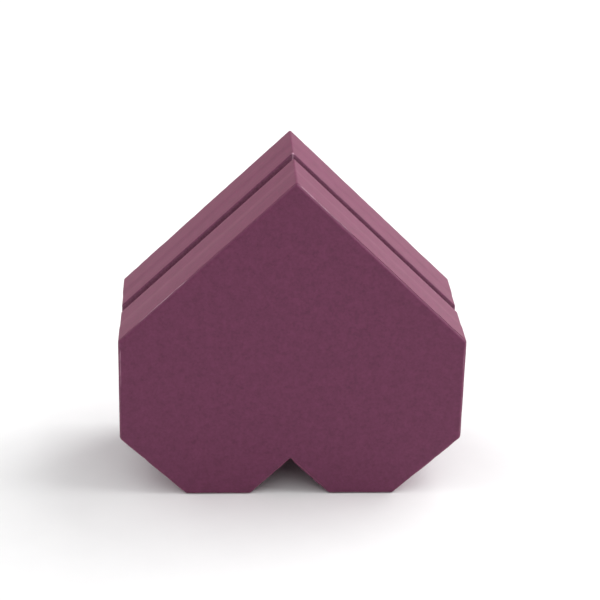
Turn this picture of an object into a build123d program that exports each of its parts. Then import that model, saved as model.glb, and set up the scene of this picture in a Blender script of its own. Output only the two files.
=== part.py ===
"""Heart-shaped rigid gift box: a lift-off lid on a neck that is glued into the base.

The box stands on its two lobes with its point up. X runs across the heart, Y from the
lid's face to the base's back, and Z up from the surface that the lobes stand on. The
origin is on that surface, midway across and midway through the box. Millimetres.
"""

import os
from dataclasses import dataclass
from math import sqrt

from build123d import *

# Heart outline, measured over the papers
WIDTH = 130.0
HEIGHT = 128.0
SHOULDER_HEIGHT = 65.0
LOBE_CUT_WIDTH = 25.0
LOBE_CUT_HEIGHT = 24.0
CLEFT_WIDTH = 30.5
CLEFT_HEIGHT = 15.25

# Depths, front to back
LID_DEPTH = 27.0
REVEAL = 6.0
BASE_DEPTH = 26.0

# Stock thicknesses
BOARD = 2.0
NECK_BOARD = 1.5
PAPER = 0.2
TAPE = 0.15

# Paper work
TURN_OVER = 12.0
TURN_OVER_RAMP = 3.0
STRIP_START = 1.0
NECK_TUCK = 10.0
LINING_MARGIN = 0.3
STAY_REACH = 8.0
STAY_MARGIN = 2.0

# Running fit of the lid on the neck, and of the neck in the base
NECK_CLEARANCE = 0.3

# Rounding of the folded corners and of the wrapped edges, on the outer paper
CORNER_RADIUS = 1.5
SIDE_CORNER_RADIUS = 4.0
CLEFT_RADIUS = 0.6
NECK_CORNER_RADIUS = 1.0
ARRIS_RADIUS = 0.9
RIM_CHAMFER = 0.3
NECK_RIM_CHAMFER = 0.5

# A board's edge is pressed to a chamfer that lies one paper inside the fold over it
CHAMFER_SHARE = 2 - sqrt(2)
ARRIS_CHAMFER = CHAMFER_SHARE * (ARRIS_RADIUS - PAPER)
BOARD_RIM_CHAMFER = RIM_CHAMFER - CHAMFER_SHARE * PAPER
NECK_BOARD_CHAMFER = NECK_RIM_CHAMFER - CHAMFER_SHARE * PAPER

# Overall depth
DEPTH = LID_DEPTH + REVEAL + BASE_DEPTH

# Insets of the wall's layers from the outermost paper face
FLANGE_FACE = PAPER
BOARD_FACE = FLANGE_FACE + PAPER
BOARD_BACK = BOARD_FACE + BOARD
WALL_INSIDE = BOARD_BACK + PAPER
NECK_FACE = WALL_INSIDE + NECK_CLEARANCE
NECK_BOARD_FACE = NECK_FACE + PAPER
NECK_BOARD_BACK = NECK_BOARD_FACE + NECK_BOARD
NECK_INSIDE = NECK_BOARD_BACK + PAPER

# Levels above a panel's outer face
PANEL_INSIDE = PAPER + BOARD
LINING_TOP = PANEL_INSIDE + PAPER
NECK_RIM = DEPTH - LINING_TOP
NECK_TUCK_LEVEL = BASE_DEPTH - NECK_TUCK


@dataclass
class Folds:
    """Radii of the heart's folded corners at one inset. Other insets are concentric."""

    inset: float
    corner: float
    side_corner: float
    cleft: float


WALL_FOLDS = Folds(0.0, CORNER_RADIUS, SIDE_CORNER_RADIUS, CLEFT_RADIUS)
NECK_FOLDS = Folds(
    NECK_FACE,
    NECK_CORNER_RADIUS,
    max(SIDE_CORNER_RADIUS - NECK_FACE, NECK_CORNER_RADIUS),
    CLEFT_RADIUS + NECK_FACE,
)


@dataclass
class Tray:
    """One half of the box: a panel with walls that rise from it to a rim."""

    name: str
    facing: Plane
    depth: float

    def level(self, height):
        """The plane at a height above the panel's outer face, facing the rim."""
        return self.facing.offset(height - DEPTH / 2)


BASE = Tray("base", Plane.front, BASE_DEPTH)
LID = Tray("lid", Plane.back, LID_DEPTH)


class Heart(BaseSketchObject):
    """The heart outline drawn in by an inset, its corners folded round and its point sharp."""

    def __init__(self, inset, folds=WALL_FOLDS, mode=Mode.ADD):
        with BuildSketch() as heart:
            with BuildLine():
                Polyline(
                    (0, HEIGHT),
                    (WIDTH / 2, SHOULDER_HEIGHT),
                    (WIDTH / 2, LOBE_CUT_HEIGHT),
                    (WIDTH / 2 - LOBE_CUT_WIDTH, 0),
                    (CLEFT_WIDTH / 2, 0),
                    (0, CLEFT_HEIGHT),
                )
                mirror(about=Plane.YZ)
            make_face()
            if inset:
                offset(amount=-inset, kind=Kind.INTERSECTION)
            corners = heart.vertices()
            cleft, point = corners.sort_by(lambda v: abs(v.X))[:2].sort_by(Axis.Y)
            sides = corners.group_by(Axis.X)[0].sort_by(Axis.Y)[:1]
            sides += corners.group_by(Axis.X)[-1].sort_by(Axis.Y)[:1]
            others = [v for v in corners if v not in (cleft, point, *sides)]
            deeper = inset - folds.inset
            self.round(heart, [cleft], folds.cleft + deeper)
            self.round(heart, sides, folds.side_corner - deeper)
            self.round(heart, others, folds.corner - deeper)
        super().__init__(heart.sketch, mode=mode)

    @staticmethod
    def round(heart, corners, radius):
        """Fillets the corners where they stand, or leaves them sharp past their centre."""
        places = [corner.center() for corner in corners]
        if radius > 0:
            fillet([v for v in heart.vertices() if v.center() in places], radius)


def save(piece, name):
    """Labels a finished piece and writes its file."""
    piece.label = name
    export_step(piece, f"parts/{name}.step")


def end_face(part, tray, last):
    """The flat face of a part nearest its tray's panel, or nearest the rim."""
    outward = Axis((0, 0, 0), tray.facing.z_dir)
    flats = part.faces().filter_by(outward)
    return flats.sort_by(outward)[-1 if last else 0]


def panel_board(tray):
    """The heart-shaped board that closes a tray, flush between its walls."""
    with BuildPart() as board:
        with BuildSketch(tray.level(PAPER)):
            Heart(BOARD_BACK)
        extrude(amount=BOARD)
    save(board.part, f"{tray.name}_panel_board")


def wall_ring(tray):
    """The tray's board walls as one ring, its outer edges pressed at the panel and the rim."""
    with BuildPart() as ring:
        with BuildSketch(tray.level(PAPER)):
            Heart(BOARD_FACE)
            Heart(BOARD_BACK, mode=Mode.SUBTRACT)
        extrude(amount=tray.depth - 2 * PAPER)
        chamfer(end_face(ring, tray, last=True).outer_wire().edges(), BOARD_RIM_CHAMFER)
        chamfer(end_face(ring, tray, last=False).outer_wire().edges(), ARRIS_CHAMFER)
    return ring.part


def neck_ring():
    """The neck's board walls as one ring, standing on the base's panel."""
    with BuildPart() as ring:
        with BuildSketch(BASE.level(PANEL_INSIDE)):
            Heart(NECK_BOARD_FACE, NECK_FOLDS)
            Heart(NECK_BOARD_BACK, NECK_FOLDS, mode=Mode.SUBTRACT)
        extrude(amount=NECK_RIM - PAPER - PANEL_INSIDE)
        chamfer(end_face(ring, BASE, last=True).outer_wire().edges(), NECK_BOARD_CHAMFER)
    return ring.part


def corner_stays(name, tray, low, high, face, folds):
    """Tapes pressed into a wall's outer face over its joints, at the point and in the cleft."""
    with BuildPart() as stays:
        with BuildSketch(tray.level(low + STAY_MARGIN)):
            Heart(face, folds)
            Heart(face + TAPE, folds, mode=Mode.SUBTRACT)
            Rectangle(2 * STAY_REACH, 4 * HEIGHT, mode=Mode.INTERSECT)
        extrude(amount=high - low - 2 * STAY_MARGIN)
    save(stays.part, f"{name}_corner_stays")
    return stays.part


def wall_halves(name, ring, stays):
    """The two V-grooved strips that meet at the point and in the cleft."""
    for side, keep in (("left", Keep.BOTTOM), ("right", Keep.TOP)):
        with BuildPart() as wall:
            add(ring)
            add(stays, mode=Mode.SUBTRACT)
            split(bisect_by=Plane.YZ, keep=keep)
        save(wall.part, f"{name}_wall_{side}")


def panel_sheet(tray):
    """The paper on a panel, turned over onto the walls all round."""
    with BuildPart() as inside:
        with BuildSketch(tray.level(PAPER)):
            Heart(BOARD_FACE)
        extrude(amount=TURN_OVER)
        chamfer(end_face(inside, tray, last=False).edges(), ARRIS_CHAMFER)
    with BuildPart() as sheet:
        with BuildSketch(tray.level(0)):
            Heart(FLANGE_FACE)
        extrude(amount=TURN_OVER)
        fillet(end_face(sheet, tray, last=False).edges(), ARRIS_RADIUS)
        add(inside.part, mode=Mode.SUBTRACT)
    save(sheet.part, f"{tray.name}_panel_sheet")


def side_strip(tray, ring):
    """The paper round the walls: over the turn-over, up to the rim, and in again."""
    with BuildPart() as wrapped:
        with BuildSketch(tray.level(0)):
            Heart(FLANGE_FACE)
        extrude(amount=TURN_OVER)
        with BuildSketch(tray.level(TURN_OVER)):
            Heart(FLANGE_FACE)
        with BuildSketch(tray.level(TURN_OVER + TURN_OVER_RAMP)):
            Heart(BOARD_FACE)
        loft(ruled=True)
        with BuildSketch(tray.level(0)):
            Heart(BOARD_BACK)
        extrude(amount=TURN_OVER + TURN_OVER_RAMP, mode=Mode.SUBTRACT)
        add(ring)
    with BuildPart() as strip:
        with BuildSketch(tray.level(STRIP_START)):
            Heart(FLANGE_FACE)
        extrude(amount=tray.depth - STRIP_START)
        chamfer(end_face(strip, tray, last=True).edges(), RIM_CHAMFER)
        with BuildSketch(tray.level(STRIP_START)):
            Heart(0)
        extrude(amount=TURN_OVER - STRIP_START)
        with BuildSketch(tray.level(TURN_OVER)):
            Heart(0)
        with BuildSketch(tray.level(TURN_OVER + TURN_OVER_RAMP)):
            Heart(FLANGE_FACE)
        loft(ruled=True)
        with BuildSketch(tray.level(0)):
            Heart(WALL_INSIDE)
        extrude(amount=tray.depth, mode=Mode.SUBTRACT)
        with BuildSketch(tray.level(0)):
            Heart(BOARD_BACK)
        extrude(amount=PANEL_INSIDE, mode=Mode.SUBTRACT)
        add(wrapped.part, mode=Mode.SUBTRACT)
    save(strip.part, f"{tray.name}_side_strip")


def neck_strip(ring):
    """The paper on the neck: tucked into the base, over the rim and down to the floor."""
    with BuildPart() as strip:
        with BuildSketch(BASE.level(PANEL_INSIDE)):
            Heart(NECK_FACE, NECK_FOLDS)
        extrude(amount=NECK_RIM - PANEL_INSIDE)
        chamfer(end_face(strip, BASE, last=True).edges(), NECK_RIM_CHAMFER)
        with BuildSketch(BASE.level(PANEL_INSIDE)):
            Heart(NECK_INSIDE, NECK_FOLDS)
        extrude(amount=NECK_RIM, mode=Mode.SUBTRACT)
        with BuildSketch(BASE.level(PANEL_INSIDE)):
            Heart(NECK_FACE, NECK_FOLDS)
            Heart(NECK_BOARD_BACK, NECK_FOLDS, mode=Mode.SUBTRACT)
        extrude(amount=NECK_TUCK_LEVEL - PANEL_INSIDE, mode=Mode.SUBTRACT)
        add(ring, mode=Mode.SUBTRACT)
    save(strip.part, "neck_strip")


def lining(tray, name, wall_face, folds):
    """The sheet on the inside of a panel, cut to lie clear of the walls round it."""
    with BuildPart() as sheet:
        with BuildSketch(tray.level(PANEL_INSIDE)):
            Heart(wall_face + LINING_MARGIN, folds)
        extrude(amount=PAPER)
    save(sheet.part, name)


os.makedirs("parts", exist_ok=True)

for tray in (BASE, LID):
    walls = wall_ring(tray)
    stays = corner_stays(tray.name, tray, PAPER, tray.depth - PAPER, BOARD_FACE, WALL_FOLDS)
    wall_halves(tray.name, walls, stays)
    panel_board(tray)
    panel_sheet(tray)
    side_strip(tray, walls)

neck = neck_ring()
neck_stays = corner_stays("neck", BASE, PANEL_INSIDE, NECK_RIM - PAPER, NECK_BOARD_FACE, NECK_FOLDS)
wall_halves("neck", neck, neck_stays)
neck_strip(neck)

lining(BASE, "base_floor_lining", NECK_INSIDE, NECK_FOLDS)
lining(LID, "lid_lining", WALL_INSIDE, WALL_FOLDS)
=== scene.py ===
"""Looks of the heart-shaped gift box: its papers, boards, floor, light and camera.

Sizes are millimetres in the row frame. Meshes, lights and the camera are made in metres.
A tray is one half of the box. Its levels run from its panel's outer face to its rim, and
insets run inwards from the outermost paper face.
"""

import math
from collections.abc import Callable
from dataclasses import dataclass

import bmesh
import bpy
import numpy as np
from mathutils import Matrix, Vector, noise


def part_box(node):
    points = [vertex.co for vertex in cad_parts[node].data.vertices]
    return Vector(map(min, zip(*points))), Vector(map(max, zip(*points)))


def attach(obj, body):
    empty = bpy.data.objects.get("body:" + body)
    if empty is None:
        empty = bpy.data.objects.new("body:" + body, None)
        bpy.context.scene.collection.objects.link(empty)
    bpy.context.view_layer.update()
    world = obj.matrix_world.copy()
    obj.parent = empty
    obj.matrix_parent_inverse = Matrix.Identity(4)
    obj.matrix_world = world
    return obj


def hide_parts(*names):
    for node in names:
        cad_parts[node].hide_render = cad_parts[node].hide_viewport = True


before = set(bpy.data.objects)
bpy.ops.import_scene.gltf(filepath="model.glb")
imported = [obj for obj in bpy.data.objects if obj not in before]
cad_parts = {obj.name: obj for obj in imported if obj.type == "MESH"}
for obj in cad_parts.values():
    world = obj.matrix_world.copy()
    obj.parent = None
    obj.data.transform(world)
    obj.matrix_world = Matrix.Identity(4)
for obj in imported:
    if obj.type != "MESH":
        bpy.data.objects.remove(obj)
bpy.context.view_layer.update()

MM = 0.001
X, Y, Z = range(3)


def edge_of(node, axis, last):
    """One side of a node's box, in millimetres."""
    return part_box(node)[1 if last else 0][axis] / MM


# Heart outline over the papers
HALF_WIDTH = edge_of("lid_side_strip", X, last=True)
HEIGHT = edge_of("lid_side_strip", Z, last=True)
SHOULDER_HEIGHT = 65.0
LOBE_CUT_WIDTH = 25.0
LOBE_CUT_HEIGHT = 24.0
CLEFT_HALF_WIDTH = 15.25
CLEFT_HEIGHT = 15.25

# Depths, front to back
FRONT = edge_of("lid_panel_sheet", Y, last=False)
BACK = edge_of("base_panel_sheet", Y, last=True)
LID_DEPTH = edge_of("lid_side_strip", Y, last=True) - FRONT
BASE_DEPTH = BACK - edge_of("base_side_strip", Y, last=False)
NECK_RIM = BACK - edge_of("neck_strip", Y, last=False)

# Stock, and the thinner paper that leaves room for its glue
BOARD = 2.0
NECK_BOARD = 1.5
PAPER = 0.2
GLUE = 0.03
SHEET = PAPER - GLUE

# Paper work
TURN_OVER = 12.0
TURN_OVER_RAMP = 5.0
STRIP_START = 0.85
NECK_TUCK = 10.0
NECK_CLEARANCE = 0.3
LINING_MARGIN = 0.3
LINING_BEVEL = 0.04
ARRIS_RADIUS = 1.0
RIM_RADIUS = 0.6
TURN_IN_RADIUS = 0.35
NECK_RIM_RADIUS = 0.45

# Insets and levels of the layers
FLANGE_FACE = PAPER
WALL_INSIDE = BOARD + 3 * PAPER
NECK_FACE = WALL_INSIDE + NECK_CLEARANCE
NECK_INSIDE = NECK_FACE + NECK_BOARD + 2 * PAPER
PANEL_INSIDE = PAPER + BOARD
LINING_TOP = PANEL_INSIDE + PAPER

# Sampling of the papers
STEP_ALONG = 2.5
STEPS_BY_CORNERS = (0.35, 0.8, 1.5)
STEP_ACROSS = 3.0
STEP_BY_START = 0.2
START_SPAN = 1.2
PANEL_INSETS = (8.0, 4.0, 2.4, 1.8, 1.55)
LINING_STEPS = (0.6, 4.0)
ARC_STEP = math.radians(7.5)
LEAST_FOLD = 0.12
MIDDLE_HEIGHT = 60.0
SHARP_ANGLE = math.radians(50)
TINY = 1e-6


@dataclass
class Folds:
    """Radii of the heart's folded corners at one inset. Other insets are concentric."""

    inset: float
    corner: float
    side_corner: float
    point: float
    cleft: float


WALL_FOLDS = Folds(inset=0.0, corner=1.5, side_corner=2.8, point=0.7, cleft=0.6)
NECK_FOLDS = Folds(
    inset=NECK_FACE, corner=1.0, side_corner=1.1, point=0.5, cleft=WALL_FOLDS.cleft + NECK_FACE
)

# Corners from the cleft, anticlockwise as seen from the lid. An edge has its first corner's number
CLEFT, POINT = 0, 5
LOWER_SIDES = (3, 7)
RIGHT_CORNERS = (
    (CLEFT_HALF_WIDTH, 0.0),
    (HALF_WIDTH - LOBE_CUT_WIDTH, 0.0),
    (HALF_WIDTH, LOBE_CUT_HEIGHT),
    (HALF_WIDTH, SHOULDER_HEIGHT),
)
CORNERS = np.array(
    [(0.0, CLEFT_HEIGHT), *RIGHT_CORNERS, (0.0, HEIGHT)]
    + [(-x, z) for x, z in reversed(RIGHT_CORNERS)]
)
WALL_LAP_EDGE = CLEFT
NECK_LAP_EDGE = len(CORNERS) - 1


class Outline:
    """The folded heart, sampled alike at every inset so that loops can be bridged."""

    def __init__(self, folds):
        self.folds = folds
        ahead = np.roll(CORNERS, -1, axis=0) - CORNERS
        lengths = np.linalg.norm(ahead, axis=1)
        self.ways = ahead / lengths[:, None]
        self.outs = np.stack([self.ways[:, 1], -self.ways[:, 0]], axis=1)
        before = np.roll(self.ways, 1, axis=0)
        cross = before[:, 0] * self.ways[:, 1] - before[:, 1] * self.ways[:, 0]
        self.turns = np.arctan2(cross, (before * self.ways).sum(axis=1))
        self.arc_steps = np.ceil(np.abs(self.turns) / ARC_STEP).astype(int)
        self.shares = [self.edge_shares(length) for length in lengths]
        self.edge_steps = np.array([len(shares) + 1 for shares in self.shares])
        sizes = self.arc_steps + self.edge_steps
        self.starts = np.concatenate([[0], np.cumsum(sizes)[:-1]])
        self.count = int(sizes.sum())
        loop = self.at(folds.inset)[0]
        gaps = np.linalg.norm(np.roll(loop, -1, axis=0) - loop, axis=1)
        self.length = gaps.sum()
        self.along = np.concatenate([[0.0], np.cumsum(gaps)[:-1]])

    @staticmethod
    def edge_shares(length):
        """Shares of an edge at which it is sampled, closer together by its corners."""
        count = math.ceil(length / STEP_ALONG)
        near = np.array(STEPS_BY_CORNERS) / length
        return np.concatenate([near, np.arange(1, count) / count, 1 - near[::-1]])

    def fold_radius(self, corner):
        """The corner's own radius at the folds' inset."""
        if corner == CLEFT:
            return self.folds.cleft
        if corner == POINT:
            return self.folds.point
        return self.folds.side_corner if corner in LOWER_SIDES else self.folds.corner

    def corner_along(self, corner):
        """Distance along the outline to the middle of a folded corner."""
        return self.along[self.starts[corner] + self.arc_steps[corner] // 2]

    def at(self, inset):
        """Points and outward directions of the loop at an inset, both as (x, z) rows."""
        arcs = [self.arc(corner, inset) for corner in range(len(CORNERS))]
        points = []
        outs = []
        for i, (arc_points, arc_outs) in enumerate(arcs):
            points.append(arc_points)
            outs.append(arc_outs)
            following = arcs[(i + 1) % len(arcs)][0][0]
            points.append(arc_points[-1] + self.shares[i][:, None] * (following - arc_points[-1]))
            outs.append(np.repeat(self.outs[i][None], self.edge_steps[i] - 1, axis=0))
        return np.concatenate(points), np.concatenate(outs)

    def arc(self, corner, inset):
        """Points and outward directions round one folded corner at an inset."""
        way, out, turn = self.ways[corner - 1], self.outs[corner - 1], self.turns[corner]
        sign = np.sign(turn)
        deeper = inset - self.folds.inset
        radius = max(self.fold_radius(corner) - sign * deeper, LEAST_FOLD)
        miter = (out + self.outs[corner]) / (1 + out @ self.outs[corner])
        tip = CORNERS[corner] - inset * miter
        middle = tip - way * radius * math.tan(abs(turn) / 2) - sign * out * radius
        angles = np.linspace(0.0, turn, self.arc_steps[corner] + 1) + math.atan2(out[1], out[0])
        outs = np.stack([np.cos(angles), np.sin(angles)], axis=1)
        return middle + sign * radius * outs, outs


WALL = Outline(WALL_FOLDS)
NECK = Outline(NECK_FOLDS)


@dataclass
class Route:
    """A paper's way round an outline.

    It has the outline's samples in order, how far the paper lies above each of them, and
    how far along the paper each one comes.
    """

    outline: Outline
    order: np.ndarray
    lifts: np.ndarray
    travelled: np.ndarray

    def from_point(self):
        """Distances along the outline from the heart's point, with the right side before it."""
        return self.outline.along[self.order] - self.outline.corner_along(POINT)


def once_round(outline):
    """The route of a sheet, which closes on itself."""
    return Route(outline, np.arange(outline.count), np.zeros(outline.count), outline.along)


def lapped(outline, edge):
    """The route of a strip that laps over its own start, on about the middle half of an edge."""
    steps = outline.edge_steps[edge]
    start = outline.starts[edge] + outline.arc_steps[edge] + steps // 4
    path = np.arange(start, start + outline.count + steps // 2 + 1)
    order = path % outline.count
    lifts = np.where(path >= start + outline.count, SHEET + GLUE, 0.0)
    travelled = outline.along[order] + outline.length * (path // outline.count)
    return Route(outline, order, lifts, travelled)


def lid_y(level):
    """Y of a level above the lid's face."""
    return FRONT + level


def base_y(level):
    """Y of a level above the base's back."""
    return BACK - level


# Profiles across a paper, as rows of (inset, level)


def run(start, end, step=STEP_ACROSS):
    """Evenly spaced rows between two places, the last one left out."""
    start, end = np.array(start), np.array(end)
    count = max(int(math.ceil(np.linalg.norm(end - start) / step)), 1)
    return [tuple(start + (end - start) * k / count) for k in range(count)]


def bend(middle, radius, start, end, steps):
    """Rows round a fold, between two angles from the inset axis, in degrees."""
    angles = np.radians(np.linspace(start, end, steps + 1))
    return [
        (middle[0] + radius * math.cos(angle), middle[1] + radius * math.sin(angle))
        for angle in angles
    ]


def ramp(start, end, steps=6):
    """Rows of a smooth step between two places, the last one left out."""
    shares = np.arange(steps) / steps
    eased = shares * shares * (3 - 2 * shares)
    insets = start[0] + (end[0] - start[0]) * eased
    levels = start[1] + (end[1] - start[1]) * shares
    return list(zip(insets, levels))


def strip_profile(depth):
    """A side strip: from the arris over the turn-over, to the rim, over it and in again."""
    fine_end = (0.0, STRIP_START + START_SPAN)
    step_end = (FLANGE_FACE, TURN_OVER + TURN_OVER_RAMP)
    rim_middle = (FLANGE_FACE + RIM_RADIUS, depth - RIM_RADIUS)
    turn_middle = (WALL_INSIDE - TURN_IN_RADIUS, depth - TURN_IN_RADIUS)
    rows = run((0.0, STRIP_START), fine_end, STEP_BY_START)
    rows += run(fine_end, (0.0, TURN_OVER))
    rows += ramp((0.0, TURN_OVER), step_end)
    rows += run(step_end, (FLANGE_FACE, depth - RIM_RADIUS))
    rows += bend(rim_middle, RIM_RADIUS, 180, 90, steps=8)
    rows += bend(turn_middle, TURN_IN_RADIUS, 90, 0, steps=5)
    rows += run((WALL_INSIDE, depth - TURN_IN_RADIUS), (WALL_INSIDE, PANEL_INSIDE))[1:]
    return rows + [(WALL_INSIDE, PANEL_INSIDE + GLUE)]


def neck_profile():
    """The neck's strip: from its tuck in the base, over the rim and down to the floor."""
    straight_end = NECK_RIM - NECK_RIM_RADIUS
    outer_middle = (NECK_FACE + NECK_RIM_RADIUS, straight_end)
    inner_middle = (NECK_INSIDE - NECK_RIM_RADIUS, straight_end)
    rows = run((NECK_FACE, BASE_DEPTH - NECK_TUCK), (NECK_FACE, straight_end))
    rows += bend(outer_middle, NECK_RIM_RADIUS, 180, 90, steps=6)
    rows += bend(inner_middle, NECK_RIM_RADIUS, 90, 0, steps=6)
    rows += run((NECK_INSIDE, straight_end), (NECK_INSIDE, PANEL_INSIDE))[1:]
    return rows + [(NECK_INSIDE, PANEL_INSIDE + GLUE)]


def panel_profile():
    """A panel sheet: out over the panel, round the arris and down its turn-over."""
    arris_middle = (FLANGE_FACE + ARRIS_RADIUS, ARRIS_RADIUS)
    turn_over_end = (FLANGE_FACE, TURN_OVER)
    rows = [(inset, 0.0) for inset in PANEL_INSETS]
    rows += bend(arris_middle, ARRIS_RADIUS, 270, 180, steps=10)
    rows += run((FLANGE_FACE, ARRIS_RADIUS), turn_over_end)[1:]
    return rows + [turn_over_end]


def lining_profile(wall_face):
    """A lining: up its cut edge and in over the panel."""
    edge = wall_face + LINING_MARGIN
    rows = [(edge, PANEL_INSIDE), (edge, LINING_TOP - LINING_BEVEL), (edge + LINING_BEVEL, LINING_TOP)]
    return rows + [(edge + step, LINING_TOP) for step in LINING_STEPS]


def profile_outs(rows):
    """Outward directions of a profile, as (inset, level) rows."""
    way = np.gradient(np.array(rows), axis=0)
    way /= np.linalg.norm(way, axis=1)[:, None]
    return np.stack([-way[:, 1], way[:, 0]], axis=1)


def profile_lengths(rows):
    """Distance across the paper to each row of a profile."""
    gaps = np.linalg.norm(np.diff(np.array(rows), axis=0), axis=1)
    return np.concatenate([[0.0], np.cumsum(gaps)])


# Meshes


def set_paper_coordinates(mesh, uv):
    """Coordinates on the flat paper, from one pair for each vertex."""
    layer = mesh.uv_layers.new(name="paper")
    corners = np.zeros(len(mesh.loops), dtype=np.int32)
    mesh.loops.foreach_get("vertex_index", corners)
    layer.data.foreach_set("uv", (np.asarray(uv)[corners] * MM).astype(np.float32).ravel())


def set_wear(mesh, wear):
    """The wear of each vertex, which the paper's material reads; on the side strips' rims it also
    holds painted light.
    """
    attribute = mesh.attributes.new("wear", "FLOAT", "POINT")
    attribute.data.foreach_set("value", np.asarray(wear, dtype=np.float32))


def turn_outwards(mesh):
    """Makes the faces of a closed mesh face outwards."""
    turner = bmesh.new()
    turner.from_mesh(mesh)
    bmesh.ops.recalc_face_normals(turner, faces=turner.faces)
    turner.to_mesh(mesh)
    turner.free()


def make_piece(name, vertices, covers, edges, uv, wear, materials):
    """A mesh object in metres, from places, paper coordinates and wear for each vertex.

    The faces of its covers take the first material, and those of its cut edges the next.
    """
    mesh = bpy.data.meshes.new(name)
    mesh.from_pydata((np.asarray(vertices) * MM).tolist(), [], covers + edges)
    mesh.validate()
    for material in materials:
        mesh.materials.append(material)
    set_paper_coordinates(mesh, uv)
    set_wear(mesh, wear)
    mesh.polygons.foreach_set("material_index", [0] * len(covers) + [1] * len(edges))
    turn_outwards(mesh)
    mesh.shade_smooth()
    mesh.set_sharp_from_angle(angle=SHARP_ANGLE)
    piece = bpy.data.objects.new(name, mesh)
    bpy.context.scene.collection.objects.link(piece)
    return piece


def skin_points(route, rows, y_of, sunk=0.0, strays=0.0):
    """Points of one skin of a paper, as an array of (sample, row, xyz).

    The skin lies sunk below the paper's outer face, and its rows stray along the levels.
    """
    points = np.zeros((len(route.order), len(rows), 3))
    strays = np.broadcast_to(strays, points.shape[:2])
    lifts = route.lifts - sunk
    for j, ((inset, level), (inwards, upwards)) in enumerate(zip(rows, profile_outs(rows))):
        loop, loop_outs = route.outline.at(inset)
        shift = (inwards * lifts)[:, None]
        points[:, j, [X, Z]] = loop[route.order] - loop_outs[route.order] * shift
        points[:, j, Y] = y_of(level + strays[:, j] + upwards * lifts)
    return points


def quads(samples, rows, first, closed):
    """Faces of a skin whose points are numbered from first, row by row along each sample."""
    faces = []
    for i in range(samples if closed else samples - 1):
        here = first + i * rows
        there = first + (i + 1) % samples * rows
        faces += [(here + j, there + j, there + j + 1, here + j + 1) for j in range(rows - 1)]
    return faces


def middle_of(loop):
    """The point of a flat loop of the heart from which all of the loop can be seen."""
    return (0.0, loop[0, Y], MIDDLE_HEIGHT)


def fan(ring, middle):
    """Triangles that join a closed ring of points to one in its middle."""
    return [(here, there, middle) for here, there in zip(ring, ring[1:] + ring[:1])]


def edge_quads(line, inner):
    """Faces of a cut edge, from a line of outer points to the inner ones numbered after them."""
    beneath = [inner + number for number in line]
    return list(zip(line[:-1], line[1:], beneath[1:], beneath[:-1]))


def strip_paper(name, route, rows, y_of, materials, strays=0.0, wear=0.0):
    """A strip of real thickness along a route with a lap. All of its four sides are cut."""
    samples, count = len(route.order), len(rows)
    inner = samples * count
    skins = [skin_points(route, rows, y_of, sunk, strays) for sunk in (0.0, SHEET)]
    vertices = np.concatenate([skin.reshape(-1, 3) for skin in skins])
    covers = quads(samples, count, 0, closed=False) + quads(samples, count, inner, closed=False)
    numbers = np.arange(inner).reshape(samples, count)
    edges = []
    for line in (numbers[:, -1], numbers[:, 0], numbers[0], numbers[-1]):
        edges += edge_quads(line.tolist(), inner)
    coordinates = np.broadcast_arrays(route.travelled[:, None], profile_lengths(rows)[None, :])
    uv = np.stack(coordinates, axis=2).reshape(-1, 2)
    outer_wear = np.broadcast_to(wear, (samples, count))
    inner_wear = np.zeros((samples, count))
    inner_wear[:, 0] = outer_wear[:, 0]
    wears = np.concatenate([outer_wear.ravel(), inner_wear.ravel()])
    return make_piece(name, vertices, covers, edges, np.concatenate([uv, uv]), wears, materials)


def panel_paper(name, route, rows, y_of, materials, wear):
    """A sheet of real thickness that covers a panel, with its turn-over's cut edge."""
    samples, count = len(route.order), len(rows)
    inner = samples * count
    skins = [skin_points(route, rows, y_of, sunk) for sunk in (0.0, SHEET)]
    middles = [middle_of(skin[:, 0]) for skin in skins]
    vertices = np.concatenate([*(skin.reshape(-1, 3) for skin in skins), middles])
    covers = quads(samples, count, 0, closed=True) + quads(samples, count, inner, closed=True)
    for k, first in enumerate((0, inner)):
        covers += fan(list(range(first, first + inner, count)), 2 * inner + k)
    cut = list(range(count - 1, inner, count))
    edges = edge_quads(cut + cut[:1], inner)
    wears = np.concatenate([wear.ravel(), np.zeros(len(vertices) - inner)])
    return make_piece(name, vertices, covers, edges, vertices[:, [X, Z]], wears, materials)


def lining_paper(name, outline, wall_face, y_of, material):
    """A lining sheet on the inside of a panel."""
    rows = lining_profile(wall_face)
    samples, count = outline.count, len(rows)
    points = skin_points(once_round(outline), rows, y_of)
    ends = (0, count - 1)
    vertices = np.concatenate([points.reshape(-1, 3), [middle_of(points[:, j]) for j in ends]])
    covers = quads(samples, count, 0, closed=True)
    for k, j in enumerate(ends):
        covers += fan(list(range(j, samples * count, count)), samples * count + k)
    unworn = np.zeros(len(vertices))
    return make_piece(name, vertices, covers, [], vertices[:, [X, Z]], unworn, [material])


# Hand work: where the papers were cut unevenly and where their folds are rubbed, and painted light on
# the strips' rims

# Each use of the noise has its own line in it, counted from the tray's seed
SLOW_CUT_LINE = 0
QUICK_CUT_LINE = 3
STEP_LINE = 7
START_FRAY_LINE = 16
FOLD_FRAY_LINE = 17

# The noise is zero where all its coordinates are whole numbers, so its lines lie off that grid
OFF_GRID = 0.5

# Hand-cut start of a side strip, and the step over the turn-over beneath it
CUT_MEAN = 0.1
CUT_SLOW = 0.4
CUT_SLOW_WAVE = 7.0
CUT_QUICK = 0.3
CUT_QUICK_WAVE = 2.6
CUT_MOST = 0.7
CUT_REACH = 2.0
STEP_DRIFT = 0.35
STEP_DRIFT_WAVE = 26.0
STEP_REACH = 4.0

# Rubbed start of a side strip, which fades along the strip and across it
START_FRAY_MEAN = 0.75
START_FRAY = 0.5
START_FRAY_WAVE = 1.7
START_FADE_ALONG = 2.5
START_FADE_ACROSS = 0.5

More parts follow.
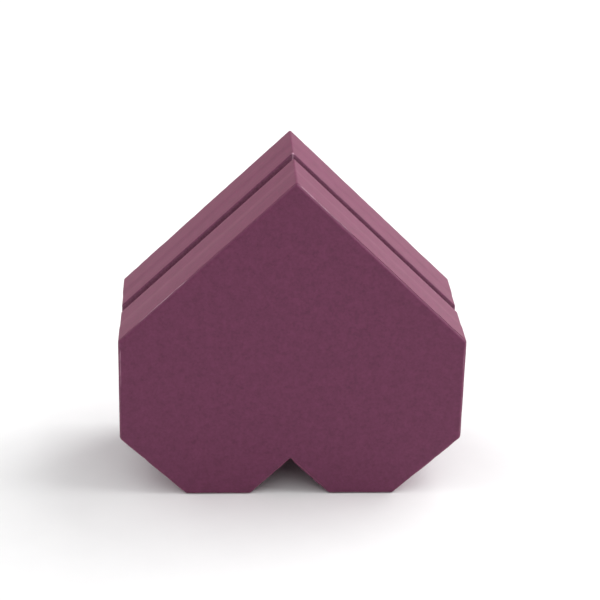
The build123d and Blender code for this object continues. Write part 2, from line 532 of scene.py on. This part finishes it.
# Rim of a side strip, lightened partly as rubbing and partly as painted light against the shade of the
# groove between lid and base, and the slit fold at its point
RIM_RUB_AND_PAINTED_LIGHT = 0.16
RIM_LIGHTENED_BAND = 0.2
RIM_LIGHTENED_RAMP = 0.3
SLIT_FADE = 1.5

# Rubbed fold of a panel sheet, by the inset of its crest
FOLD_CREST = 0.8
FOLD_REACH = 0.25
FOLD_FRAY_MEAN = 0.6
FOLD_FRAY = 1.3
FOLD_FRAY_WAVE = 2.3
FOLD_FADE_ALONG = 3.0


def wobble(places, wavelength, line):
    """A smooth, repeatable wander between about -1 and 1, along a line of the noise."""
    return np.array([noise.noise(Vector((place / wavelength, line, OFF_GRID))) for place in places])


def rubbed(places, stretches, fade):
    """The most wear that any stretch of (start, end, amount) gives at each place.

    Outside its ends a stretch falls to zero over the fade.
    """
    amounts = [
        most * np.clip(np.minimum(places - start, end - places) / fade + 1, 0, 1)
        for start, end, most in stretches
    ]
    return np.max(amounts, axis=0)


def hand_cut(route, rows, seed):
    """Strays of a side strip's start and of the step over the turn-over, along the levels."""
    insets, levels = np.array(rows).T
    places = route.outline.along[route.order]
    slow = CUT_SLOW * wobble(places, CUT_SLOW_WAVE, seed + SLOW_CUT_LINE)
    quick = CUT_QUICK * wobble(places, CUT_QUICK_WAVE, seed + QUICK_CUT_LINE)
    start = np.clip(CUT_MEAN + slow + quick, 0, CUT_MOST)
    step = STEP_DRIFT * wobble(places, STEP_DRIFT_WAVE, seed + STEP_LINE)
    step_middle = TURN_OVER + TURN_OVER_RAMP / 2
    outside = insets <= FLANGE_FACE + TINY
    near_start = np.clip(1 - (levels - STRIP_START) / CUT_REACH, 0, 1) * outside
    near_step = np.clip(1 - np.abs(levels - step_middle) / STEP_REACH, 0, 1) * outside
    return start[:, None] * near_start + step[:, None] * near_step


def strip_wear_and_painted_light(route, rows, tray):
    """Wear of a side strip: its cut start in stretches, its rim, and its slit fold at the point. The
    rim's share is partly rubbing and partly painted light that lifts the groove's shade.
    """
    insets, levels = np.array(rows).T
    places = route.from_point()
    fray = START_FRAY * wobble(places, START_FRAY_WAVE, tray.seed + START_FRAY_LINE)
    start = rubbed(places, tray.start_rubs, START_FADE_ALONG) * (START_FRAY_MEAN + fray)
    reach = start[:, None] - (levels - STRIP_START) / START_FADE_ACROSS
    at_start = (insets == 0.0) * np.clip(reach, 0, 1)
    # Mask of the rim's painted light, which lifts the shade in the groove and stands for some rubbing
    # too
    over_rim = np.clip((insets - FLANGE_FACE - RIM_LIGHTENED_BAND) / RIM_LIGHTENED_RAMP, 0, 1)
    lightened_rim = (levels > tray.depth - RIM_LIGHTENED_BAND) * over_rim
    half_width, amount = tray.slit
    slit = amount * np.clip(SLIT_FADE - np.abs(places) / half_width, 0, 1)
    at_slit = slit[:, None] * (levels > tray.depth - RIM_RADIUS)
    # The rim's share is painted light that lifts the groove's shade, with some rubbing of the rim
    return np.clip(np.maximum(at_start + RIM_RUB_AND_PAINTED_LIGHT * lightened_rim, at_slit), 0, 1)


def worn_panel(route, rows, tray):
    """Wear of a panel sheet where it folds over the arris."""
    insets, levels = np.array(rows).T
    places = route.from_point()
    fray = FOLD_FRAY * wobble(places, FOLD_FRAY_WAVE, tray.seed + FOLD_FRAY_LINE)
    amount = rubbed(places, tray.fold_rubs, FOLD_FADE_ALONG) * np.clip(FOLD_FRAY_MEAN + fray, 0, 1)
    near_crest = np.clip(1 - np.abs(insets - FOLD_CREST) / FOLD_REACH, 0, 1)
    return np.clip(amount[:, None] * near_crest * (levels < ARRIS_RADIUS), 0, 1)


# Materials

# Most of a noise texture's values lie between these
NOISE_LOW = 0.25
NOISE_HIGH = 0.75

# Sockets of a colour mix, whose names aren't unique
MIX_FACTOR = 0
MIX_A = 6
MIX_B = 7
MIX_RESULT = 2


class Graph:
    """A material and short ways to add its nodes."""

    def __init__(self, name):
        self.material = bpy.data.materials.new(name)
        self.material.use_nodes = True
        self.tree = self.material.node_tree
        self.shader = self.tree.nodes["Principled BSDF"]

    def add(self, kind, inputs=(), **settings):
        """A node with its settings, and with values or links for its inputs."""
        node = self.tree.nodes.new(kind)
        for key, value in settings.items():
            setattr(node, key, value)
        for key, value in dict(inputs).items():
            self.put(node.inputs[key], value)
        return node

    def put(self, socket, value):
        """A link or a plain value for a socket."""
        if isinstance(value, bpy.types.NodeSocket):
            self.tree.links.new(value, socket)
        else:
            socket.default_value = value

    def shade(self, **values):
        """Values or links for the shader's inputs, by name with underscores for spaces."""
        for key, value in values.items():
            self.put(self.shader.inputs[key.replace("_", " ")], value)

    def place(self):
        """Row-frame coordinates, in metres."""
        return self.add("ShaderNodeTexCoord").outputs["Object"]

    def paper_place(self):
        """Coordinates on the flat paper, in metres."""
        return self.add("ShaderNodeUVMap", uv_map="paper").outputs["UV"]

    def wear(self):
        """The wear that the mesh carries, which on the side strips' rims also holds painted light."""
        return self.add("ShaderNodeAttribute", attribute_name="wear").outputs["Fac"]

    def stretched(self, vector, scale):
        """Coordinates scaled along each axis."""
        return self.add("ShaderNodeMapping", {"Vector": vector, "Scale": scale}).outputs["Vector"]

    def clouds(self, vector, scale, detail=3.0, roughness=0.55):
        """Soft noise between 0 and 1."""
        inputs = {"Vector": vector, "Scale": scale, "Detail": detail, "Roughness": roughness}
        return self.add("ShaderNodeTexNoise", inputs).outputs["Fac"]

    def math(self, operation, first, second):
        """The result of one operation on two values."""
        return self.add("ShaderNodeMath", {0: first, 1: second}, operation=operation).outputs[0]

    def weighted(self, *parts):
        """The sum of values, each times its weight."""
        total, *others = [self.math("MULTIPLY", value, weight) for value, weight in parts]
        for other in others:
            total = self.math("ADD", total, other)
        return total

    def spread(self, value, low, high):
        """Noise about a half, spread between two values."""
        inputs = {"Value": value, "From Min": NOISE_LOW, "From Max": NOISE_HIGH}
        outputs = {"To Min": low, "To Max": high}
        return self.add("ShaderNodeMapRange", {**inputs, **outputs}).outputs["Result"]

    def peaks(self, value, low, high):
        """Zero up to a low value, rising to one at a high value."""
        inputs = {"Value": value, "From Min": low, "From Max": high}
        return self.add("ShaderNodeMapRange", inputs).outputs["Result"]

    def mixed(self, factor, first, second):
        """A mix of two colours."""
        node = self.add("ShaderNodeMix", data_type="RGBA")
        self.put(node.inputs[MIX_FACTOR], factor)
        self.put(node.inputs[MIX_A], first)
        self.put(node.inputs[MIX_B], second)
        return node.outputs[MIX_RESULT]

    def tint(self, value, dark, light):
        """A colour between two, as noise about a half goes from low to high."""
        return self.mixed(self.spread(value, low=0.0, high=1.0), dark, light)

    def bump(self, height, distance):
        """A bump of a height in metres at full strength."""
        inputs = {"Height": height, "Distance": distance, "Strength": 1.0}
        return self.add("ShaderNodeBump", inputs).outputs["Normal"]


def rgb(red, green, blue):
    """An opaque linear colour."""
    return (red, green, blue, 1.0)


PLUM = (0.141, 0.0295, 0.0775)
# Paler plum of rubbed paper; on the side strips' rims the same mix is painted light that lifts the
# groove's shade
PLUM_RUBBED_AND_LIT = rgb(0.54, 0.30, 0.40)
PLUM_SHEEN = rgb(1.0, 0.43, 0.52)


def plum_paper(name, streak_scale, contrast):
    """Matte dyed paper: fine grain, faint streaks on its own coordinates, rubbed folds, and painted
    light on the side strips' rims.
    """
    graph = Graph(name)
    place = graph.place()
    grain = graph.clouds(place, scale=1100.0, detail=4.0, roughness=0.6)
    formation = graph.clouds(place, scale=240.0)
    stretched = graph.stretched(graph.paper_place(), streak_scale)
    streaks = graph.clouds(stretched, scale=1.0, roughness=0.6)
    tone = graph.weighted((grain, 0.55), (formation, 0.25), (streaks, 0.20))
    dark, light = (rgb(*(share * part for part in PLUM)) for share in (1 - contrast, 1 + contrast))
    dyed = graph.tint(tone, dark, light)
    # Wear, and the painted light on the side strips' rims, made ragged by the grain
    ragged = graph.math("MULTIPLY", graph.wear(), graph.spread(grain, low=0.6, high=1.4))
    height = graph.weighted((grain, 0.5), (streaks, 0.6))
    graph.shade(
        Base_Color=graph.mixed(ragged, dyed, PLUM_RUBBED_AND_LIT),
        Roughness=graph.spread(grain, low=0.50, high=0.62),
        Normal=graph.bump(height, distance=0.00004),
        Specular_IOR_Level=0.25,
        Sheen_Weight=0.25,
        Sheen_Roughness=0.5,
        Sheen_Tint=PLUM_SHEEN,
    )
    return graph.material


def paper_core():
    """The cut edge of the plum paper, whose paler core shows where it is rubbed."""
    graph = Graph("paper_core")
    fibres = graph.clouds(graph.place(), scale=2600.0, detail=4.0, roughness=0.65)
    fresh = graph.tint(fibres, dark=rgb(0.18, 0.041, 0.098), light=rgb(0.29, 0.071, 0.160))
    bare = graph.tint(fibres, dark=rgb(0.50, 0.29, 0.39), light=rgb(0.72, 0.52, 0.61))
    graph.shade(
        Base_Color=graph.mixed(graph.wear(), fresh, bare),
        Roughness=0.8,
        Normal=graph.bump(fibres, distance=0.00003),
    )
    return graph.material


def ivory_paper():
    """Ivory wove paper with a fine felt mark and a few darker fibres."""
    graph = Graph("lining_paper")
    place = graph.place()
    felt = graph.clouds(place, scale=900.0, detail=5.0, roughness=0.65)
    formation = graph.clouds(place, scale=90.0)
    stretched = graph.stretched(place, (420.0, 420.0, 90.0))
    fibres = graph.clouds(stretched, scale=6.0, detail=2.0, roughness=0.4)
    tone = graph.weighted((felt, 0.5), (formation, 0.5))
    sheet = graph.tint(tone, dark=rgb(0.70, 0.62, 0.52), light=rgb(0.82, 0.76, 0.67))
    flecks = graph.math("MULTIPLY", graph.peaks(fibres, low=0.70, high=0.78), 0.35)
    graph.shade(
        Base_Color=graph.mixed(flecks, sheet, rgb(0.46, 0.36, 0.26)),
        Roughness=graph.spread(felt, low=0.62, high=0.78),
        Normal=graph.bump(felt, distance=0.00005),
    )
    return graph.material


def greyboard():
    """Recycled board: grey pulp with dark specks."""
    graph = Graph("greyboard")
    place = graph.place()
    pulp = graph.clouds(place, scale=420.0, detail=6.0, roughness=0.7)
    body = graph.tint(pulp, dark=rgb(0.27, 0.25, 0.22), light=rgb(0.40, 0.38, 0.34))
    spots = graph.clouds(place, scale=2300.0, detail=2.0, roughness=0.5)
    specks = graph.math("MULTIPLY", graph.peaks(spots, low=0.66, high=0.74), 0.6)
    graph.shade(
        Base_Color=graph.mixed(specks, body, rgb(0.12, 0.11, 0.10)),
        Roughness=0.9,
        Normal=graph.bump(pulp, distance=0.00008),
    )
    return graph.material


def stay_tape():
    """Kraft tape: brown, with fine fibres along the box's depth."""
    graph = Graph("stay_tape")
    stretched = graph.stretched(graph.place(), (900.0, 120.0, 900.0))
    fibres = graph.clouds(stretched, scale=1.6, detail=5.0, roughness=0.65)
    graph.shade(
        Base_Color=graph.tint(fibres, dark=rgb(0.36, 0.24, 0.13), light=rgb(0.50, 0.35, 0.21)),
        Roughness=0.75,
        Normal=graph.bump(fibres, distance=0.00004),
    )
    return graph.material


def floor_card():
    """Plain pale floor with the least grain."""
    graph = Graph("floor_card")
    grain = graph.clouds(graph.place(), scale=60.0, detail=4.0)
    graph.shade(
        Base_Color=graph.tint(grain, dark=rgb(0.86, 0.86, 0.86), light=rgb(0.88, 0.88, 0.88)),
        Roughness=0.9,
        Specular_IOR_Level=0.1,
    )
    return graph.material


STRIP_PLUM = plum_paper("plum_strip_paper", streak_scale=(14.0, 520.0, 1.0), contrast=0.50)
PANEL_PLUM = plum_paper("plum_panel_paper", streak_scale=(420.0, 420.0, 1.0), contrast=0.34)
CORE = paper_core()
IVORY = ivory_paper()
GREYBOARD = greyboard()
STAY_TAPE = stay_tape()

# Assembly


@dataclass
class Tray:
    """One half of the box, and how its papers were cut and worn.

    The rubs are stretches of (start, end, amount) along the walls from the point, with the
    right side before it. The slit is the half width and the wear of the fold at the point,
    where it shows on the rim.
    """

    body: str
    depth: float
    y_of: Callable
    seed: float
    start_rubs: tuple
    fold_rubs: tuple
    slit: tuple


LID = Tray(
    body="lid",
    depth=LID_DEPTH,
    y_of=lid_y,
    seed=2.0,
    start_rubs=(
        (-7.0, -3.5, 2.0),
        (-17.0, -7.0, 1.0),
        (-26.0, -17.0, 0.7),
        (57.0, 67.0, 1.0),
        (67.0, 78.0, 0.8),
    ),
    fold_rubs=((93.5, 96.0, 1.0), (96.0, 106.0, 0.8), (-101.0, -96.0, 0.3)),
    slit=(0.3, 0.35),
)
BASE = Tray(
    body="base",
    depth=BASE_DEPTH,
    y_of=base_y,
    seed=31.0,
    start_rubs=((-60.0, -40.0, 0.4), (12.0, 30.0, 0.45)),
    fold_rubs=((-0.8, 0.8, 0.4), (60.0, 75.0, 0.3)),
    slit=(0.7, 1.0),
)


def dress(piece, body, node):
    """Puts a piece on its body in the place of a node."""
    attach(piece, body)
    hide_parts(node)


def dress_side(tray):
    """The strip round a tray's walls."""
    route = lapped(WALL, WALL_LAP_EDGE)
    rows = strip_profile(tray.depth)
    strays = hand_cut(route, rows, tray.seed)
    # The strip's wear includes painted light that lightens its rim against the groove's shade
    wear = strip_wear_and_painted_light(route, rows, tray)
    strip = strip_paper(
        f"{tray.body}_strip_paper", route, rows, tray.y_of, [STRIP_PLUM, CORE], strays, wear
    )
    dress(strip, tray.body, f"{tray.body}_side_strip")


def dress_panel(tray):
    """The sheet over a tray's panel."""
    route = once_round(WALL)
    rows = panel_profile()
    wear = worn_panel(route, rows, tray)
    panel = panel_paper(f"{tray.body}_panel_paper", route, rows, tray.y_of, [PANEL_PLUM, CORE], wear)
    dress(panel, tray.body, f"{tray.body}_panel_sheet")


def dress_neck():
    """The strip over the neck, which is glued into the base."""
    route = lapped(NECK, NECK_LAP_EDGE)
    strip = strip_paper("neck_strip_paper", route, neck_profile(), base_y, [STRIP_PLUM, CORE])
    dress(strip, "base", "neck_strip")


def dress_linings():
    """The linings of the lid, inside its walls, and of the base, inside the neck."""
    lid_lining = lining_paper("lid_lining_paper", WALL, WALL_INSIDE, lid_y, IVORY)
    dress(lid_lining, "lid", "lid_lining")
    base_lining = lining_paper("base_lining_paper", NECK, NECK_INSIDE, base_y, IVORY)
    dress(base_lining, "base", "base_floor_lining")


def dress_boards():
    """Materials for the CAD boards and tapes, which keep their shapes."""
    looks = {"board": GREYBOARD, "wall": GREYBOARD, "stays": STAY_TAPE}
    for name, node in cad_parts.items():
        for word, material in looks.items():
            if word in name:
                node.data.materials.clear()
                node.data.materials.append(material)


# Stage and light, in metres
FLOOR_SIZE = 12.0
FLOOR_GAP = 0.05 * MM
WORLD_STRENGTH = 0.3
BOX_MIDDLE = Vector((0.0, 0.0, 0.06))
SOFTBOX_SIZE = 2.4

# Softboxes, as (name, watts, place)
SOFTBOXES = (
    ("softbox_right", 58.5, (1.5, 0.5, 1.4)),
    ("softbox_left", 18.0, (-1.5, 0.5, 1.4)),
    ("softbox_front", 17.2, (0.0, -1.0, 1.8)),
)

# The photograph's camera, fitted to the box's edges, in millimetres
CAMERA_PLACE = (-33.90, -638.80, 357.78)
CAMERA_YAW = math.radians(3.381)
CAMERA_PITCH = math.radians(24.300)
CAMERA_ROLL = math.radians(1.445)
CAMERA_LENS = 109.208
CAMERA_SENSOR = 36.0


def make_floor():
    """The pale floor just under the lobes."""
    half = FLOOR_SIZE / 2
    level = -FLOOR_GAP
    corners = [(-half, -half, level), (half, -half, level), (half, half, level), (-half, half, level)]
    mesh = bpy.data.meshes.new("floor")
    mesh.from_pydata(corners, [], [(0, 1, 2, 3)])
    mesh.materials.append(floor_card())
    floor = bpy.data.objects.new("floor", mesh)
    bpy.context.scene.collection.objects.link(floor)


def make_softbox(name, watts, place):
    """A square softbox that faces the box."""
    light = bpy.data.lights.new(name, "AREA")
    light.size = SOFTBOX_SIZE
    light.energy = watts
    lamp = bpy.data.objects.new(name, light)
    lamp.location = place
    lamp.rotation_euler = (BOX_MIDDLE - Vector(place)).to_track_quat("-Z", "Y").to_euler()
    bpy.context.scene.collection.objects.link(lamp)


def make_world():
    """Even white light from all round."""
    world = bpy.data.worlds.new("studio")
    world.use_nodes = True
    background = world.node_tree.nodes["Background"]
    background.inputs["Color"].default_value = rgb(1.0, 1.0, 1.0)
    background.inputs["Strength"].default_value = WORLD_STRENGTH
    bpy.context.scene.world = world


def make_camera():
    """The camera at the photograph's place and angle."""
    data = bpy.data.cameras.new("camera")
    data.lens = CAMERA_LENS
    data.sensor_width = CAMERA_SENSOR
    camera = bpy.data.objects.new("camera", data)
    ahead = Vector((
        math.sin(CAMERA_YAW) * math.cos(CAMERA_PITCH),
        math.cos(CAMERA_YAW) * math.cos(CAMERA_PITCH),
        -math.sin(CAMERA_PITCH),
    ))
    level = Vector((math.cos(CAMERA_YAW), -math.sin(CAMERA_YAW), 0.0))
    above = level.cross(ahead)
    right = math.cos(CAMERA_ROLL) * level + math.sin(CAMERA_ROLL) * above
    up = math.cos(CAMERA_ROLL) * above - math.sin(CAMERA_ROLL) * level
    turn = Matrix((right, up, -ahead)).transposed()
    camera.matrix_world = Matrix.Translation(Vector(CAMERA_PLACE) * MM) @ turn.to_4x4()
    bpy.context.scene.collection.objects.link(camera)
    bpy.context.scene.camera = camera


for tray in (LID, BASE):
    dress_side(tray)
    dress_panel(tray)
dress_neck()
dress_linings()
dress_boards()
make_floor()
make_world()
for name, watts, place in SOFTBOXES:
    make_softbox(name, watts, place)
make_camera()
bpy.context.scene.view_settings.view_transform = "Standard"
